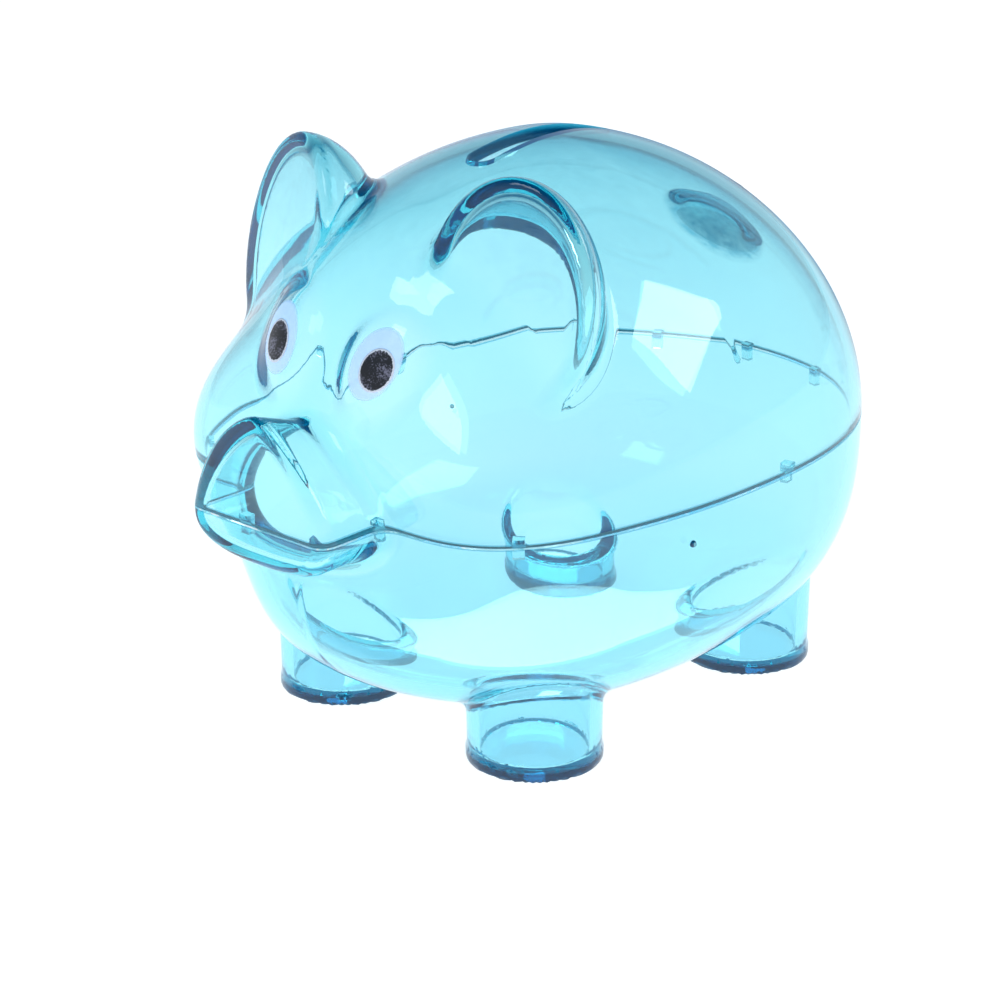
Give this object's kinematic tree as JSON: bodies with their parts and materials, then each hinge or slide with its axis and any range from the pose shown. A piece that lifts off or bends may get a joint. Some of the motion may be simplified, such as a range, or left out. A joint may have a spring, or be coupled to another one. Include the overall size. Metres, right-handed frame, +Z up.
{
  "type": "piggy bank",
  "caption": "See-through plastic pig money box made of an upper and a lower shell, with a coin slot in its back and short hollow legs.",
  "frame": {"origin": "on the floor under the middle of the bank, at the centre of the footprint's bounding box", "axes": "+Z up; the pig faces -Y, so +Y runs from snout to rump; +X towards the pig's left side"},
  "size_m": [0.0828, 0.1114, 0.0863],
  "materials": {
    "clear_aqua": "clear transparent aqua styrene, polished mould surface",
    "eye_white": "pale lilac-white print, slightly see-through at the edge",
    "pupil_black": "black print, a little worn and speckled"
  },
  "bodies": {
    "lower_half": {"lower_shell": "clear_aqua"},
    "upper_half": {"upper_shell": "clear_aqua", "left_eye_white": "eye_white", "left_eye_pupil": "pupil_black", "right_eye_white": "eye_white", "right_eye_pupil": "pupil_black"}
  },
  "joints": [
    {"name": "shell_lift", "type": "slide", "parent": "lower_half", "child": "upper_half", "axis": [0, 0, 1], "range_m": [0, 0.06]}
  ]
}
